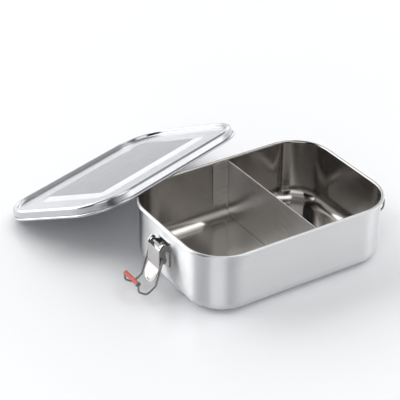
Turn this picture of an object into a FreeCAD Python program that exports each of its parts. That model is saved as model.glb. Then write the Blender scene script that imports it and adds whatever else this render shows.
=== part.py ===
"""A stainless steel lunch box with a lift-out divider, a lid and two over-centre wire latches.

The frame's origin is the centre of the tub's underside. X runs along the tub's long side, +Z is up,
and the lid leans on the corner of the tub at -X, +Y with its far edge on the ground.
"""

import FreeCAD
import Part
import math
import os

from FreeCAD import Placement, Rotation, Vector

# Tub, measured over its rolled rim
TUB_LENGTH = 208.0
TUB_WIDTH = 150.0
TUB_HEIGHT = 62.0
TUB_CORNER_R = 39.3
TUB_SHEET = 0.7
RIM_R = 1.75
RIM_TURN = 290
FLOOR_BEND_R = 12.8

# Lid, which is a little larger than the rim all round
LID_GAP = 0.5
LID_SHEET = 0.6
LID_HEIGHT = 10.0
LID_PANEL_HEIGHT = 6.8
LID_FIELD_HEIGHT = 8.4
LID_HEM_R = 1.3
LID_HEM_TURN = 290
LID_REST_GAP = 0.3
LID_HEADING = 18.8
LID_CENTRE_X = -60.8
LID_CENTRE_Y = 142.2

# Lid seal, seated in the channel under the lid's raised border
SEAL_WIDTH = 3.0
SEAL_DEPTH = 1.8
SEAL_ROUND = 0.5

# Divider, a sheet across the tub with a flange against each long wall
DIVIDER_X = 11.0
DIVIDER_DROP = 1.8
DIVIDER_SHEET = 0.7
DIVIDER_FLANGE = 17.2
DIVIDER_BEND_R = 2.0
DIVIDER_GAP = 0.3
FLANGE_FOOT = 14.5
FLANGE_CORNER_R = 4.0
HEM_DEPTH = 5.0

# Latches: u is the distance out from the tub's end wall, and w is the height
PIVOT_U = 7.6
PIVOT_W = 46.4
PIN_R = 1.2
PIN_HEAD_R = 2.3
PIN_HEAD = 0.6
PIN_PLAY = 0.05
BRACKET_HALF_WIDTH = 8.7
BRACKET_SHEET = 1.2
BRACKET_FOOT_W = 22.5
BRACKET_TOP_W = 49.0
EAR_R = 2.6
EAR_SLOPE = 30
LEVER_HALF_WIDTH = 10.2
LEVER_SHEET = 0.8
LEVER_BEND_R = 1.0
LEVER_FACE_U = 12.0
CHEEK_TOP_W = 50.2
CHEEK_FOOT_W = 30.0
NOTCH_V = 3.1
NOTCH_W = 44.9
TAB_KNEE_W = 25.4
TAB_TIP_U = 18.5
TAB_TIP_W = 11.4
TAB_HALF_WIDTH = 9.0
BAIL_U = 9.3
BAIL_W = 36.0
BAIL_SPLAY = 17.65
BAR = (23.2, 19.2)
WIRE_R = 0.9
WIRE_BEND_R = 1.2
ARM_V = 12.1
WIRE_END_V = 9.0
SLEEVE_R = 1.9
SLEEVE_HALF = 10.8

# Worked out from the above
TUB_WALL_R = TUB_CORNER_R - 2 * RIM_R + TUB_SHEET
CORNER_X = TUB_LENGTH / 2 - TUB_CORNER_R
CORNER_Y = TUB_WIDTH / 2 - TUB_CORNER_R
WALL_X = CORNER_X + TUB_WALL_R
INNER_Y = CORNER_Y + TUB_WALL_R - TUB_SHEET
SKIRT_R = TUB_CORNER_R + LID_GAP + LID_SHEET
SKIRT_INNER_R = TUB_CORNER_R + LID_GAP

Y_AXIS = Vector(0, 1, 0)
Z_AXIS = Vector(0, 0, 1)
ORIGIN = Vector(0, 0, 0)


def bent_edges(points, radii):
    """Straight edges along the points, joined by an arc of the given radius at each inner one."""
    edges = []
    start = points[0]
    for before, corner, after, radius in zip(points, points[1:], points[2:], radii):
        into = (corner - before).normalize()
        out = (after - corner).normalize()
        half_turn = into.getAngle(out) / 2
        reach = radius * math.tan(half_turn)
        inward = (out - into).normalize() * radius * (1 / math.cos(half_turn) - 1)
        first = corner - into * reach
        last = corner + out * reach
        edges.append(Part.makeLine(start, first))
        edges.append(Part.Arc(first, corner + inward, last).toShape())
        start = last
    edges.append(Part.makeLine(start, points[-1]))
    return edges


def sheet(corners, thickness):
    """The section of a bent sheet, as a face in the XZ plane.

    The corners are (x, z, bend radius) along one side. The other side lies to the left of it, or to
    the right where the thickness is negative.
    """
    side = [Vector(x, 0, z) for x, z, _ in corners]
    ways = [(b - a).normalize() for a, b in zip(side, side[1:])]
    lefts = [Vector(-way.z, 0, way.x) for way in ways]
    radii = [radius for _, _, radius in corners[1:-1]]
    other = [side[0] + lefts[0] * thickness]
    other_radii = []
    for i, radius in enumerate(radii):
        mitre = thickness / (1 + lefts[i].dot(lefts[i + 1]))
        other.append(side[i + 1] + (lefts[i] + lefts[i + 1]) * mitre)
        turns_left = ways[i].x * ways[i + 1].z > ways[i].z * ways[i + 1].x
        other_radii.append(radius - thickness if turns_left else radius + thickness)
    other.append(side[-1] + lefts[-1] * thickness)
    edges = bent_edges(side, radii)
    edges.append(Part.makeLine(side[-1], other[-1]))
    edges += bent_edges(other[::-1], other_radii[::-1])
    edges.append(Part.makeLine(other[0], side[0]))
    return Part.Face(Part.Wire(edges))


def curl(x, z, outer_r, thickness, start, turn):
    """The section of a rolled edge round (x, z): start is its first angle and turn its sweep."""

    def at(radius, angle):
        a = math.radians(angle)
        return Vector(x + radius * math.cos(a), 0, z + radius * math.sin(a))

    inner_r = outer_r - thickness
    middle = start + turn / 2
    end = start + turn
    return Part.Face(
        Part.Wire(
            [
                Part.Arc(at(outer_r, start), at(outer_r, middle), at(outer_r, end)).toShape(),
                Part.makeLine(at(outer_r, end), at(inner_r, end)),
                Part.Arc(at(inner_r, end), at(inner_r, middle), at(inner_r, start)).toShape(),
                Part.makeLine(at(inner_r, start), at(outer_r, start)),
            ]
        )
    )


def polygon(points):
    """A flat face in the XZ plane. A point (x, z, mid_x, mid_z) is reached by an arc through the middle."""
    edges = []
    here = Vector(points[-1][0], 0, points[-1][1])
    for point in points:
        there = Vector(point[0], 0, point[1])
        if len(point) == 4:
            edges.append(Part.Arc(here, Vector(point[2], 0, point[3]), there).toShape())
        else:
            edges.append(Part.makeLine(here, there))
        here = there
    return Part.Face(Part.Wire(edges))


def across(face, y_from, y_to):
    """Extrudes an XZ face along Y."""
    return face.translated(Vector(0, y_from, 0)).extrude(Vector(0, y_to - y_from, 0))


def upright(face, z_from, z_to):
    """Lays an XZ face down in plan, its z becoming y, and extrudes it along Z."""
    plan = face.rotated(ORIGIN, Vector(1, 0, 0), -90)
    return plan.translated(Vector(0, 0, z_from)).extrude(Vector(0, 0, z_to - z_from))


def block(x_from, x_to, y_from, y_to, z_from, z_to):
    return Part.makeBox(x_to - x_from, y_to - y_from, z_to - z_from, Vector(x_from, y_from, z_from))


def rod(radius, x, z, y_from, y_to):
    """A cylinder along Y."""
    return Part.makeCylinder(radius, y_to - y_from, Vector(x, y_from, z), Y_AXIS)


def fused(pieces):
    return pieces[0].multiFuse(pieces[1:]).removeSplitter()


def round_the_corners(section):
    """Carries a section, drawn outwards from a corner's centre, round the tub's rounded rectangle."""
    corner = section.revolve(ORIGIN, Z_AXIS, 90)
    end_wall = across(section, -CORNER_Y, CORNER_Y)
    long_wall = across(section, -CORNER_X, CORNER_X)
    pieces = []
    for turn, x, y in ((0, 1, 1), (90, -1, 1), (180, -1, -1), (270, 1, -1)):
        shift = Vector(x * CORNER_X, y * CORNER_Y, 0)
        pieces.append(corner.rotated(ORIGIN, Z_AXIS, turn).translated(shift))
    for turn in (0, 180):
        pieces.append(end_wall.translated(Vector(CORNER_X, 0, 0)).rotated(ORIGIN, Z_AXIS, turn))
        pieces.append(long_wall.translated(Vector(CORNER_Y, 0, 0)).rotated(ORIGIN, Z_AXIS, turn + 90))
    return pieces


def tub():
    rim_x = TUB_WALL_R - TUB_SHEET + RIM_R
    rim_z = TUB_HEIGHT - RIM_R
    wall = sheet([(0, 0, 0), (TUB_WALL_R, 0, FLOOR_BEND_R), (TUB_WALL_R, rim_z, 0)], TUB_SHEET)
    rim = curl(rim_x, rim_z, RIM_R, TUB_SHEET, 180, -RIM_TURN)
    floor = block(-CORNER_X, CORNER_X, -CORNER_Y, CORNER_Y, 0, TUB_SHEET)
    return fused(round_the_corners(wall) + round_the_corners(rim) + [floor])


def lid_section():
    """The lid's top side, from its raised field outwards and down its skirt."""
    return sheet(
        [
            (0, LID_FIELD_HEIGHT, 0),
            (2, LID_FIELD_HEIGHT, 4),
            (12, LID_PANEL_HEIGHT, 4),
            (34.6, LID_PANEL_HEIGHT, 0.9),
            (35.6, LID_HEIGHT, 1.0),
            (SKIRT_R, LID_HEIGHT, 2.4),
            (SKIRT_R, LID_HEM_R, 0),
        ],
        -LID_SHEET,
    )


def lid_placement():
    """Leans the lid: its far edge is on the ground and its near edge is just above the tub's rim."""
    hem_y = CORNER_Y + SKIRT_INNER_R + LID_HEM_R
    tilt = math.asin((TUB_HEIGHT + LID_REST_GAP) / (2 * hem_y))
    rise = hem_y * math.sin(tilt) + LID_HEM_R * (1 - math.cos(tilt))
    turn = Rotation(Z_AXIS, LID_HEADING).multiply(Rotation(Vector(1, 0, 0), -math.degrees(tilt)))
    return Placement(Vector(LID_CENTRE_X, LID_CENTRE_Y, rise), turn)


def lid_shell():
    hem_x = SKIRT_INNER_R + LID_HEM_R
    hem = curl(hem_x, LID_HEM_R, LID_HEM_R, LID_SHEET, 180, LID_HEM_TURN)
    underside = LID_FIELD_HEIGHT - LID_SHEET
    field = block(-CORNER_X, CORNER_X, -CORNER_Y, CORNER_Y, underside, LID_FIELD_HEIGHT)
    shell = fused(round_the_corners(lid_section()) + round_the_corners(hem) + [field])
    shell.Placement = lid_placement()
    return shell


def lid_seal():
    outer = SKIRT_INNER_R - 0.2
    inner = outer - SEAL_WIDTH
    top = LID_HEIGHT - LID_SHEET
    foot = top - SEAL_DEPTH
    upper_outer = outer - 1.6
    section = polygon(
        [
            (inner, foot + SEAL_ROUND),
            (inner + SEAL_ROUND, foot, inner + 0.15, foot + 0.15),
            (outer - SEAL_ROUND, foot),
            (outer, foot + SEAL_ROUND, outer - 0.15, foot + 0.15),
            (upper_outer, top),
            (inner, top),
        ]
    )
    seal = fused(round_the_corners(section))
    seal.Placement = lid_placement()
    return seal


def divider():
    """A cross wall whose ends are bent round into flanges, with its top edge folded into a hem."""
    side_y = INNER_Y - DIVIDER_GAP
    face_x = DIVIDER_X + DIVIDER_SHEET / 2
    flange_x = face_x - DIVIDER_FLANGE
    foot = TUB_SHEET + DIVIDER_GAP
    top = TUB_HEIGHT - DIVIDER_DROP
    plan = sheet(
        [
            (flange_x, -side_y, 0),
            (face_x, -side_y, DIVIDER_BEND_R),
            (face_x, side_y, DIVIDER_BEND_R),
            (flange_x, side_y, 0),
        ],
        DIVIDER_SHEET,
    )
    bent = upright(plan, foot, top)
    inner_bend = FLOOR_BEND_R - TUB_SHEET - DIVIDER_GAP
    flat_y = side_y - inner_bend
    slope = inner_bend * math.sqrt(0.5)
    end_view = polygon(
        [
            (-side_y, top),
            (-side_y, foot + inner_bend),
            (-flat_y, foot, -flat_y - slope, foot + inner_bend - slope),
            (flat_y, foot),
            (side_y, foot + inner_bend, flat_y + slope, foot + inner_bend - slope),
            (side_y, top),
        ]
    )
    envelope = end_view.rotated(ORIGIN, Z_AXIS, 90).translated(Vector(face_x, 0, 0))
    envelope = envelope.extrude(Vector(-DIVIDER_FLANGE, 0, 0))
    below = block(flange_x, face_x - DIVIDER_BEND_R, -side_y, side_y, foot, FLANGE_FOOT)
    body = bent.common(envelope).cut(below)
    corners = [
        edge
        for edge in body.Edges
        if abs(edge.BoundBox.XLength) < 0.01
        and abs(edge.BoundBox.ZLength) < 0.01
        and abs(edge.BoundBox.YLength - DIVIDER_SHEET) < 0.01
        and abs(edge.BoundBox.XMin - flange_x) < 0.01
    ]
    body = body.makeFillet(FLANGE_CORNER_R, corners)
    fold_r = DIVIDER_SHEET * 0.9
    hem_y = side_y - DIVIDER_BEND_R - 1.5
    fold = block(face_x, face_x + DIVIDER_SHEET, -hem_y, hem_y, top - HEM_DEPTH, top)
    top_edges = [
        edge
        for edge in fold.Edges
        if abs(edge.BoundBox.YLength - 2 * hem_y) < 0.01
        and edge.BoundBox.ZMin > top - 0.01
        and edge.BoundBox.XMin > face_x + 0.01
    ]
    return fused([body, fold.makeFillet(fold_r, top_edges)])


def latch_bracket():
    """A plate on the end wall with two ears, which carry the pin inside the lever's cheeks."""
    half = BRACKET_HALF_WIDTH
    plate_face = polygon(
        [
            (-half, BRACKET_FOOT_W + 2),
            (-half + 2, BRACKET_FOOT_W, -half + 0.6, BRACKET_FOOT_W + 0.6),
            (half - 2, BRACKET_FOOT_W),
            (half, BRACKET_FOOT_W + 2, half - 0.6, BRACKET_FOOT_W + 0.6),
            (half, BRACKET_TOP_W),
            (-half, BRACKET_TOP_W),
        ]
    )
    plate = plate_face.rotated(ORIGIN, Z_AXIS, 90).extrude(Vector(BRACKET_SHEET, 0, 0))
    slope = math.radians(EAR_SLOPE)
    ear_u = EAR_R * math.sin(slope)
    ear_w = EAR_R * math.cos(slope)
    foot_w = PIVOT_W - ear_w - (PIVOT_U + ear_u) * math.tan(slope)
    top_w = PIVOT_W + ear_w - (PIVOT_U - ear_u) * math.tan(slope)
    ear_face = polygon(
        [
            (0, foot_w),
            (PIVOT_U + ear_u, PIVOT_W - ear_w),
            (PIVOT_U - ear_u, PIVOT_W + ear_w, PIVOT_U + ear_w, PIVOT_W + ear_u),
            (0, top_w),
        ]
    )
    pieces = [plate]
    for y_from in (-half, half - BRACKET_SHEET):
        pieces.append(across(ear_face, y_from, y_from + BRACKET_SHEET))
    return fused(pieces).cut(rod(PIN_R, PIVOT_U, PIVOT_W, -half - 1, half + 1))


def latch_pin():
    """The lever's pivot pin, with a rivet head outside each cheek."""
    head_v = LEVER_HALF_WIDTH + 0.1
    pieces = [rod(PIN_R, PIVOT_U, PIVOT_W, -head_v, head_v)]
    for v in (-head_v - PIN_HEAD, head_v):
        pieces.append(rod(PIN_HEAD_R, PIVOT_U, PIVOT_W, v, v + PIN_HEAD))
    pin = fused(pieces)
    rims = [
        edge
        for edge in pin.Edges
        if abs(abs(edge.BoundBox.YMin) - head_v - PIN_HEAD) < 0.01 and edge.BoundBox.YLength < 0.01
    ]
    return pin.makeFillet(PIN_HEAD * 0.7, rims)


def lever_channel():
    """The lever's front face and its two cheeks. A notch in one side of the face shows the pin."""
    half = LEVER_HALF_WIDTH
    plan = sheet(
        [
            (2, -half, 0),
            (LEVER_FACE_U, -half, LEVER_BEND_R),
            (LEVER_FACE_U, half, LEVER_BEND_R),
            (2, half, 0),
        ],
        LEVER_SHEET,
    )
    cheek = polygon(
        [
            (LEVER_FACE_U, CHEEK_FOOT_W),
            (LEVER_FACE_U, PIVOT_W - 1.8),
            (PIVOT_U - 0.2, CHEEK_TOP_W, LEVER_FACE_U - 1.2, CHEEK_TOP_W - 3),
            (PIVOT_U - 3.9, PIVOT_W, PIVOT_U - 2.9, CHEEK_TOP_W - 1.2),
            (4.7, 35.6, 5.3, 40.2),
            (4.7, 31.6, 4.2, 33.6),
            (6.6, CHEEK_FOOT_W, 5.4, 30.4),
        ]
    )
    channel = upright(plan, CHEEK_FOOT_W, CHEEK_TOP_W).common(across(cheek, -half, half))
    inner = half - LEVER_SHEET
    notch = block(PIVOT_U, LEVER_FACE_U + 1, -inner, NOTCH_V, NOTCH_W, CHEEK_TOP_W)
    return channel.cut(notch)


def lever_tab():
    """The face below the cheeks, and the finger tab: it flares outwards to a round end with a slot."""
    half = LEVER_HALF_WIDTH
    tab_half = TAB_HALF_WIDTH
    side_view = sheet(
        [
            (LEVER_FACE_U, CHEEK_FOOT_W + 2, 0),
            (LEVER_FACE_U, TAB_KNEE_W, 2.5),
            (TAB_TIP_U, TAB_TIP_W, 0),
        ],
        -LEVER_SHEET,
    )
    outline = polygon(
        [
            (-half, CHEEK_FOOT_W + 2),
            (-half, CHEEK_FOOT_W - 1.2),
            (-tab_half, TAB_KNEE_W - 0.5, -tab_half - 0.4, TAB_KNEE_W + 1.2),
            (-tab_half, TAB_TIP_W + 6),
            (tab_half, TAB_TIP_W + 6, 0, TAB_TIP_W),
            (tab_half, TAB_KNEE_W - 0.5),
            (half, CHEEK_FOOT_W - 1.2, tab_half + 0.4, TAB_KNEE_W + 1.2),
            (half, CHEEK_FOOT_W + 2),
        ]
    )
    outline = outline.rotated(ORIGIN, Z_AXIS, 90).extrude(Vector(30, 0, 0))
    tab = across(side_view, -half, half).common(outline)
    slot_w = TAB_TIP_W + 1.7
    slot = block(LEVER_FACE_U, TAB_TIP_U + 4, -1.9, 1.9, slot_w - 0.6, slot_w + 0.6)
    for v in (-1.9, 1.9):
        end = Part.makeCylinder(0.6, 10, Vector(LEVER_FACE_U, v, slot_w), Vector(1, 0, 0))
        slot = slot.fuse(end)
    return tab.cut(slot)


def latch_lever():
    half = LEVER_HALF_WIDTH
    lever = fused([lever_channel(), lever_tab()])
    lever = lever.cut(rod(PIN_R + PIN_PLAY, PIVOT_U, PIVOT_W, -half - 1, half + 1))
    return lever.cut(rod(WIRE_R + PIN_PLAY, BAIL_U, BAIL_W, -half - 1, half + 1))


def bail_point(along, out, v):
    """A place on the bail: along its arm from its pivot, out from the arm, and across the latch."""
    splay = math.radians(BAIL_SPLAY)
    u = BAIL_U + along * math.sin(splay) + out * math.cos(splay)
    w = BAIL_W - along * math.cos(splay) + out * math.sin(splay)
    return Vector(u, v, w)


def latch_bail():
    """A wire loop: its ends turn in through the cheeks, and its free end is bent up into a hook.

    The wire is closed by a turn round one end of the cross bar.
    """
    bends = [
        (0, 0, WIRE_BEND_R),
        (25.7, 0, 2.5),
        (34.1, 7.0, 4),
        (31.3, 16.5, 5),
        BAR + (WIRE_BEND_R,),
    ]
    one_side = [bail_point(along, out, ARM_V) for along, out, _ in bends]
    other_side = [Vector(point.x, -point.y, point.z) for point in one_side[::-1]]
    start = bail_point(0, 0, WIRE_END_V)
    end = bail_point(0, 0, -WIRE_END_V)
    radii = [radius for _, _, radius in bends]
    path = Part.Wire(bent_edges([start] + one_side + other_side + [end], radii + radii[::-1]))
    section = Part.Wire(Part.makeCircle(WIRE_R, start, Y_AXIS))
    loop = path.makePipeShell([section], True, False)
    turn = Part.makeTorus(2 * WIRE_R - 0.1, WIRE_R, bail_point(*BAR, ARM_V), Y_AXIS)
    return fused([loop, turn])


def grip_sleeve():
    """The silicone tube over the bail's cross bar."""
    bar = bail_point(*BAR, 0)
    tube = rod(SLEEVE_R, bar.x, bar.z, -SLEEVE_HALF, SLEEVE_HALF)
    tube = tube.makeFillet(0.4, [edge for edge in tube.Edges if edge.BoundBox.YLength < 0.01])
    return tube.cut(rod(WIRE_R, bar.x, bar.z, -SLEEVE_HALF - 1, SLEEVE_HALF + 1))


def parts():
    """Every sub-part by name, in place."""
    nodes = {"tub": tub(), "lid": lid_shell(), "lid_seal": lid_seal(), "divider": divider()}
    latch = {
        "latch_bracket": latch_bracket(),
        "latch_pin": latch_pin(),
        "latch_lever": latch_lever(),
        "latch_bail": latch_bail(),
        "grip_sleeve": grip_sleeve(),
    }
    for side, turn in (("right", 0), ("left", 180)):
        for name, shape in latch.items():
            on_wall = shape.translated(Vector(WALL_X, 0, 0))
            nodes[f"{side}_{name}"] = on_wall.rotated(ORIGIN, Z_AXIS, turn)
    return nodes


os.makedirs("parts", exist_ok=True)
for node, shape in parts().items():
    shape.exportStep(f"parts/{node}.step")
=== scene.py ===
"""A stainless steel lunch box on a pale studio floor: its materials, the light and the camera."""

import math

import bpy
from mathutils import Euler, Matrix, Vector

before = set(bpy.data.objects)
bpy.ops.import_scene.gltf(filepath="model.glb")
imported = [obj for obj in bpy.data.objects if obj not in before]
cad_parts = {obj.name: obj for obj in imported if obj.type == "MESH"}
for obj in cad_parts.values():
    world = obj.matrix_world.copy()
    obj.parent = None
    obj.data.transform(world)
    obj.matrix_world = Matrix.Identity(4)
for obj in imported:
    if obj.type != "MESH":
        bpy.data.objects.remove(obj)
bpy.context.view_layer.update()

MM = 0.001

# The lid leans on the tub's corner: its turns about X and then Z, in degrees
LID_TILT = -23.94
LID_HEADING = 18.8
LID_TURN = (LID_TILT, 0, LID_HEADING)

# The lid's centre field, a little rougher than the rest and darker as painted reflection, reaches FIELD_R
# beyond the centres of the lid's rounded corners
LID_CORNER = (64.7 * MM, 35.7 * MM)
FIELD_R = 2.6 * MM

# Camera, in degrees, metres and millimetres
CAMERA_AZIMUTH = -32.0
CAMERA_ELEVATION = 31.15
CAMERA_DISTANCE = 1.30
CAMERA_AIM = Vector((-0.0593, 0.0085, 0.0709))
CAMERA_LENS = 131.5

# The studio's walls, as (azimuth in degrees, brightness): below the horizon, low, high and at the top
STUDIO_STRENGTH = 3.7
BELOW_RING = [
    (0, 0.28), (15, 0.20), (30, 0.04), (60, 0.03), (95, 0.03), (108, 0.32), (120, 0.76), (150, 0.76),
    (162, 0.10), (170, 0.0), (206, 0.0), (217, 0.10), (231, 0.10), (240, 0.0), (266, 0.0), (280, 0.26),
    (300, 0.56), (330, 0.62), (342, 0.36), (360, 0.28),
]
LOW_RING = [
    (0, 0.10), (15, 0.16), (26, 0.66), (60, 0.66), (72, 0.56), (95, 0.56), (108, 0.70), (120, 0.76),
    (150, 0.76), (162, 0.10), (170, 0.0), (206, 0.0), (217, 0.10), (231, 0.10), (240, 0.0), (266, 0.0),
    (280, 0.26), (300, 0.56), (326, 0.90), (338, 0.45), (350, 0.14), (360, 0.10),
]
HIGH_RING = [
    (0, 0.45), (20, 0.48), (35, 0.46), (95, 0.46), (108, 0.78), (120, 0.80), (150, 0.80),
    (162, 0.10), (170, 0.0), (266, 0.0), (280, 0.06), (300, 0.08), (318, 0.36), (345, 0.42), (360, 0.45),
]
TOP_RING = [
    (0, 0.11), (60, 0.11), (70, 0.36), (95, 0.56), (108, 0.82), (120, 0.84), (150, 0.84),
    (162, 0.10), (170, 0.0), (266, 0.0), (280, 0.06), (325, 0.12), (345, 0.12), (360, 0.11),
]
CEILING = (0.02, 0.02, 0.02, 1)

# The elevations, in degrees, over which each ring gives way to the next one up, and the last to the ceiling
BELOW_TO_LOW = (-1.5, 0.5)
LOW_TO_HIGH = (6, 10)
HIGH_TO_TOP = (21, 26)
TOP_TO_CEILING = (50, 62)

# Softboxes: name, azimuth and elevation in degrees, side in metres and power in watts
LAMP_DISTANCE = 6.0
SOFTBOXES = [
    ("key", 330, 68, 3.6, 106),
    ("front", 228, 30, 4.0, 86),
    ("top", 228, 70, 4.0, 26),
]

# Floor
FLOOR_RADIUS = 0.75
FLOOR_COLOUR = (0.945, 0.955, 0.975, 1)

# Steel: the sheet counts as level where the Z of its normal is above LEVEL_SLOPE. The sizes are in mm
LEVEL_SLOPE = 0.9
LINE_LENGTH = 45
SMUDGE_SIZE = (34, 34, 34)

# Most of a noise texture's values lie in this range
NOISE_RANGE = (0.3, 0.7)

# The tub's floor and floor bend lie below this height
TUB_LOW = 30 * MM


class Nodes:
    """A short way to write a node tree: each call adds a node, sets its values and links its inputs."""

    def __init__(self, tree):
        self.tree = tree
        tree.nodes.clear()

    def add(self, kind, inputs=None, **settings):
        node = self.tree.nodes.new(kind)
        for name, value in settings.items():
            setattr(node, name, value)
        for key, value in (inputs or {}).items():
            socket = node.inputs[key]
            if isinstance(value, bpy.types.NodeSocket):
                self.tree.links.new(value, socket)
            else:
                socket.default_value = value
        return node

    def math(self, operation, a, b=0.0):
        return self.add("ShaderNodeMath", {0: a, 1: b}, operation=operation).outputs[0]

    def vector(self, operation, a, b=(0, 0, 0), output=0):
        return self.add("ShaderNodeVectorMath", {0: a, 1: b}, operation=operation).outputs[output]

    def axes(self, value):
        return self.add("ShaderNodeSeparateXYZ", {0: value}).outputs

    def spread(self, value, low, high, to_low, to_high):
        """Maps value from low..high to to_low..to_high, clamped."""
        values = {0: value, 1: low, 2: high, 3: to_low, 4: to_high}
        return self.add("ShaderNodeMapRange", values).outputs[0]

    def mix(self, factor, a, b):
        return self.add("ShaderNodeMix", {0: factor, 2: a, 3: b}).outputs[0]

    def mix_vector(self, factor, a, b):
        return self.add("ShaderNodeMix", {0: factor, 4: a, 5: b}, data_type="VECTOR").outputs[1]

    def mix_colour(self, factor, a, b, blend="MIX"):
        node = self.add("ShaderNodeMix", {0: factor, 6: a, 7: b}, data_type="RGBA", blend_type=blend)
        return node.outputs[2]

    def noise(self, place, sizes, detail=3.0):
        """Noise whose features are sizes long along each axis, in mm."""
        scale = [1 / (size * MM) for size in sizes]
        stretched = self.add("ShaderNodeMapping", {"Vector": place, "Scale": scale}).outputs[0]
        values = {"Vector": stretched, "Scale": 1.0, "Detail": detail}
        return self.add("ShaderNodeTexNoise", values).outputs[0]

    def ring(self, turn, stops):
        """Brightness by turn, 0..1 of the way round, from (azimuth in degrees, brightness) stops."""
        node = self.add("ShaderNodeValToRGB", {"Fac": turn})
        node.color_ramp.interpolation = "LINEAR"
        elements = node.color_ramp.elements
        while len(elements) < len(stops):
            elements.new(0.5)
        for element, (azimuth, grey) in zip(elements, stops):
            element.position = azimuth / 360
            element.color = (grey, grey, grey, 1)
        return node.outputs[0]


def material(name):
    """A new material and the nodes to build it with."""
    made = bpy.data.materials.new(name)
    made.use_nodes = True
    return made, Nodes(made.node_tree)


def finish_with(nodes, surface):
    nodes.add("ShaderNodeOutputMaterial", {"Surface": surface})


def local_frame(nodes, turn):
    """Place and normal in the part's own frame, which is turned from the object by turn, in degrees."""
    rotation = [math.radians(a) for a in turn]
    place = nodes.add("ShaderNodeTexCoord").outputs["Object"]
    normal = nodes.add("ShaderNodeNewGeometry").outputs["Normal"]
    normal = nodes.add(
        "ShaderNodeVectorTransform",
        {"Vector": normal},
        vector_type="NORMAL",
        convert_from="WORLD",
        convert_to="OBJECT",
    ).outputs[0]
    return [
        nodes.add("ShaderNodeMapping", {"Vector": v, "Rotation": rotation}, vector_type="TEXTURE").outputs[0]
        for v in (place, normal)
    ]


def world_way(nodes, way, turn):
    """A direction of the part's own frame, in world space."""
    rotation = [math.radians(a) for a in turn]
    turned = nodes.add("ShaderNodeMapping", {"Vector": way, "Rotation": rotation}, vector_type="VECTOR")
    return nodes.add(
        "ShaderNodeVectorTransform",
        {"Vector": turned.outputs[0]},
        vector_type="VECTOR",
        convert_from="OBJECT",
        convert_to="WORLD",
    ).outputs[0]


def across_lines(nodes, normal, level):
    """The direction across the brush lines: up and down a wall, and along Y where the sheet is level."""
    along = nodes.vector("CROSS_PRODUCT", normal, (0, 0, 1))
    upright = nodes.vector("CROSS_PRODUCT", normal, along)
    return nodes.mix_vector(level, upright, (0, 1, 0))


def brushed_steel(name, colour, roughness, anisotropy, turn=(0, 0, 0), grain=0.45, line=0.35, patch=None):
    """Sheet steel with fine brush lines round its walls and along X where it is level.

    The highlight is drawn out across the lines. turn is the part's own frame, grain the width of a
    line in mm, and line how deep it looks. patch holds a mask, from place and normal, of where the
    steel gets another colour and roughness, and that colour and roughness; the darker colour there is
    painted shade and painted reflection.
    """
    made, nodes = material(name)
    place, normal = local_frame(nodes, turn)
    slope = nodes.math("ABSOLUTE", nodes.axes(normal)[2])
    level = nodes.math("GREATER_THAN", slope, LEVEL_SLOPE)

    wall_lines = nodes.noise(place, (LINE_LENGTH, LINE_LENGTH, grain))
    level_lines = nodes.noise(place, (LINE_LENGTH, grain, LINE_LENGTH))
    lines = nodes.mix(level, wall_lines, level_lines)
    smudge = nodes.noise(place, SMUDGE_SIZE)

    rough = nodes.spread(lines, *NOISE_RANGE, -0.035, 0.035)
    rough = nodes.math("ADD", rough, nodes.spread(smudge, 0.35, 0.7, -0.012, 0.02))
    shade = nodes.spread(lines, *NOISE_RANGE, 0.965, 1.015)
    base = (*colour, 1)
    if patch:
        mask, painted_shade_colour, patch_roughness = patch
        factor = mask(nodes, place, normal)
        # The patch's darker colour is painted shade and painted reflection
        base = nodes.mix_colour(factor, base, (*painted_shade_colour, 1))
        rough = nodes.math("ADD", rough, nodes.mix(factor, roughness, patch_roughness))
    else:
        rough = nodes.math("ADD", rough, roughness)
    grey = nodes.add("ShaderNodeCombineColor", {0: shade, 1: shade, 2: shade}).outputs[0]
    tint = nodes.mix_colour(1.0, base, grey, "MULTIPLY")
    bump = nodes.add("ShaderNodeBump", {"Height": lines, "Strength": line, "Distance": 0.02 * MM})
    shader = nodes.add(
        "ShaderNodeBsdfPrincipled",
        {
            "Base Color": tint,
            "Metallic": 1.0,
            "Roughness": rough,
            "Anisotropic": anisotropy,
            "Tangent": world_way(nodes, across_lines(nodes, normal, level), turn),
            "Normal": bump.outputs[0],
        },
    )
    finish_with(nodes, shader.outputs[0])
    return made


def tub_inside(nodes, place, normal):
    """1 inside the tub, where the steel faces its middle, and on its floor: there it is polished and its
    darker colour is painted shade.
    """
    level_place = nodes.vector("MULTIPLY", place, (1, 1, 0))
    outward = nodes.vector("DOT_PRODUCT", level_place, normal, output=1)
    facing_in = nodes.math("LESS_THAN", outward, -1e-6)
    faces_up = nodes.math("GREATER_THAN", nodes.axes(normal)[2], 0.3)
    low = nodes.math("LESS_THAN", nodes.axes(place)[2], TUB_LOW)
    return nodes.math("MAXIMUM", facing_in, nodes.math("MULTIPLY", faces_up, low))


def lid_middle():
    """The middle of the lid's box in the lid's own frame."""
    turn = Euler([math.radians(a) for a in LID_TURN]).to_matrix().transposed()
    points = [turn @ v.co for v in bpy.data.objects["lid"].data.vertices]
    return [(min(p[i] for p in points) + max(p[i] for p in points)) / 2 for i in range(3)]


def lid_field(nodes, place, normal):
    """1 on the lid's raised centre field, inside its sloped edge, where the steel is given a darker colour
    as painted reflection.
    """
    from_middle = nodes.vector("ABSOLUTE", nodes.vector("SUBTRACT", place, lid_middle()))
    reach = nodes.vector("SUBTRACT", from_middle, (*LID_CORNER, 1))
    corner = nodes.vector("LENGTH", nodes.vector("MAXIMUM", reach, (0, 0, 0)), output=1)
    return nodes.spread(corner, FIELD_R - 0.3 * MM, FIELD_R + 0.3 * MM, 1, 0)


def faces_along_y(nodes, place, normal):
    """1 on the faces across the tub: the latches' cheeks, ears and sheared edges, which get a darker colour
    as painted shade.
    """
    sideways = nodes.math("ABSOLUTE", nodes.axes(normal)[1])
    return nodes.spread(sideways, 0.55, 0.75, 0, 1)


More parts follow.
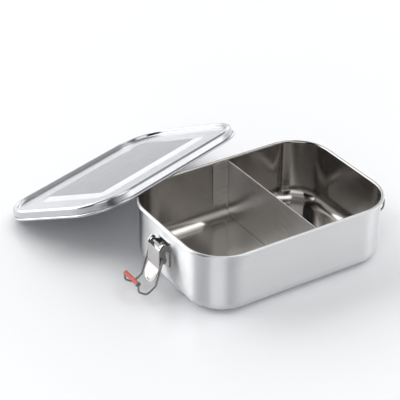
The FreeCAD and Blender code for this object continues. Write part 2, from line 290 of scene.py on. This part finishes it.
def silicone(name, colour, roughness):
    """Soft moulded silicone: a faint satin skin with dust-fine mottling."""
    made, nodes = material(name)
    place = nodes.add("ShaderNodeTexCoord").outputs["Object"]
    fine = nodes.noise(place, (0.7, 0.7, 0.7), 4.0)
    broad = nodes.noise(place, (6, 6, 6))
    darker = (*[c * 0.88 for c in colour], 1)
    lighter = (*[min(1, c * 1.08) for c in colour], 1)
    tint = nodes.mix_colour(nodes.spread(broad, *NOISE_RANGE, 0.0, 1.0), darker, lighter)
    bump = nodes.add("ShaderNodeBump", {"Height": fine, "Strength": 0.25, "Distance": 0.05 * MM})
    shader = nodes.add(
        "ShaderNodeBsdfPrincipled",
        {
            "Base Color": tint,
            "Roughness": nodes.spread(fine, *NOISE_RANGE, roughness - 0.06, roughness + 0.08),
            "Subsurface Weight": 0.15,
            "Subsurface Radius": (0.001, 0.0004, 0.0003),
            "Normal": bump.outputs[0],
        },
    )
    finish_with(nodes, shader.outputs[0])
    return made


def dress(node, made):
    """Gives a CAD piece its material."""
    slots = bpy.data.objects[node].material_slots
    if not slots:
        bpy.data.objects[node].data.materials.append(made)
    for slot in slots:
        slot.material = made


def make_materials():
    steel = (0.765, 0.775, 0.785)
    # The tub's inside is polished, with a lower roughness; its darker colour is painted shade and painted
    # reflection
    inside_painted_shade = (0.40, 0.385, 0.37)
    tub = brushed_steel("tub_steel", steel, 0.40, 0.95, patch=(tub_inside, inside_painted_shade, 0.14))
    lid = brushed_steel(
        "lid_steel",
        (0.53, 0.54, 0.56),
        0.22,
        0.8,
        turn=LID_TURN,
        grain=0.4,
        line=0.05,
        # The centre field's darker colour is painted reflection
        patch=(lid_field, (0.30, 0.31, 0.33), 0.26),
    )
    divider = brushed_steel("divider_steel", (0.66, 0.65, 0.64), 0.3, 0.7, line=0.1)
    latch = brushed_steel(
        # The latches' side faces get a darker colour as painted shade
        "latch_steel", (0.60, 0.585, 0.57), 0.24, 0.3, patch=(faces_along_y, (0.20, 0.195, 0.19), 0.22)
    )
    wire = brushed_steel("wire_steel", (0.22, 0.217, 0.214), 0.12, 0.2, line=0.1)
    grip = silicone("grip_silicone", (0.61, 0.10, 0.07), 0.42)
    seal = silicone("seal_silicone", (0.80, 0.80, 0.78), 0.5)
    dress("tub", tub)
    dress("lid", lid)
    dress("lid_seal", seal)
    dress("divider", divider)
    for side in ("left", "right"):
        dress(f"{side}_latch_bracket", latch)
        dress(f"{side}_latch_lever", latch)
        dress(f"{side}_latch_pin", wire)
        dress(f"{side}_latch_bail", wire)
        dress(f"{side}_grip_sleeve", grip)


def make_floor():
    """A pale disc. Beyond it the camera sees plain white."""
    bpy.ops.mesh.primitive_circle_add(vertices=128, radius=FLOOR_RADIUS, fill_type="NGON")
    floor = bpy.context.object
    floor.name = "floor"
    made, nodes = material("floor_white")
    shader = nodes.add("ShaderNodeBsdfPrincipled", {"Base Color": FLOOR_COLOUR, "Roughness": 0.3})
    finish_with(nodes, shader.outputs[0])
    floor.data.materials.append(made)


def make_studio():
    """Soft light from all round: rings of bright and dark panels under a dark ceiling.

    The camera itself sees plain white instead.
    """
    world = bpy.data.worlds.new("studio")
    bpy.context.scene.world = world
    world.use_nodes = True
    nodes = Nodes(world.node_tree)
    x, y, z = nodes.axes(nodes.add("ShaderNodeTexCoord").outputs["Generated"])
    turn = nodes.math("MULTIPLY", nodes.math("ARCTAN2", y, x), 1 / (2 * math.pi))
    turn = nodes.math("FRACT", nodes.math("ADD", turn, 1.0))
    height = nodes.math("MULTIPLY", nodes.math("ARCSINE", z), 180 / math.pi)
    light = nodes.ring(turn, BELOW_RING)
    for edge, ring in ((BELOW_TO_LOW, LOW_RING), (LOW_TO_HIGH, HIGH_RING), (HIGH_TO_TOP, TOP_RING)):
        light = nodes.mix_colour(nodes.spread(height, *edge, 0, 1), light, nodes.ring(turn, ring))
    light = nodes.mix_colour(nodes.spread(height, *TOP_TO_CEILING, 0, 1), light, CEILING)
    lit = nodes.add("ShaderNodeBackground", {"Color": light, "Strength": STUDIO_STRENGTH})
    plain = nodes.add("ShaderNodeBackground", {"Color": (1, 1, 1, 1), "Strength": 1.0})
    seen = nodes.add("ShaderNodeLightPath").outputs["Is Camera Ray"]
    both = nodes.add("ShaderNodeMixShader", {0: seen, 1: lit.outputs[0], 2: plain.outputs[0]})
    nodes.add("ShaderNodeOutputWorld", {"Surface": both.outputs[0]})


def softbox(name, azimuth, elevation, side, power):
    """A large square soft light that faces the tub's middle."""
    a, e = math.radians(azimuth), math.radians(elevation)
    way = Vector((math.cos(a) * math.cos(e), math.sin(a) * math.cos(e), math.sin(e)))
    data = bpy.data.lights.new(name, "AREA")
    data.shape = "SQUARE"
    data.size = side
    data.energy = power
    lamp = bpy.data.objects.new(name, data)
    lamp.location = way * LAMP_DISTANCE
    lamp.rotation_euler = way.to_track_quat("Z", "Y").to_euler()
    bpy.context.scene.collection.objects.link(lamp)


def make_camera():
    """The view of the box that the studio's light is made for."""
    a, e = math.radians(CAMERA_AZIMUTH), math.radians(CAMERA_ELEVATION)
    back = Vector((math.sin(a) * math.cos(e), -math.cos(a) * math.cos(e), math.sin(e)))
    data = bpy.data.cameras.new("camera")
    data.lens = CAMERA_LENS
    data.sensor_width = 36
    data.clip_start = 0.01
    camera = bpy.data.objects.new("camera", data)
    camera.location = CAMERA_AIM + back * CAMERA_DISTANCE
    camera.rotation_euler = back.to_track_quat("Z", "Y").to_euler()
    bpy.context.scene.collection.objects.link(camera)
    bpy.context.scene.camera = camera


make_materials()
make_floor()
make_studio()
for lamp in SOFTBOXES:
    softbox(*lamp)
make_camera()
bpy.context.scene.view_settings.view_transform = "Standard"
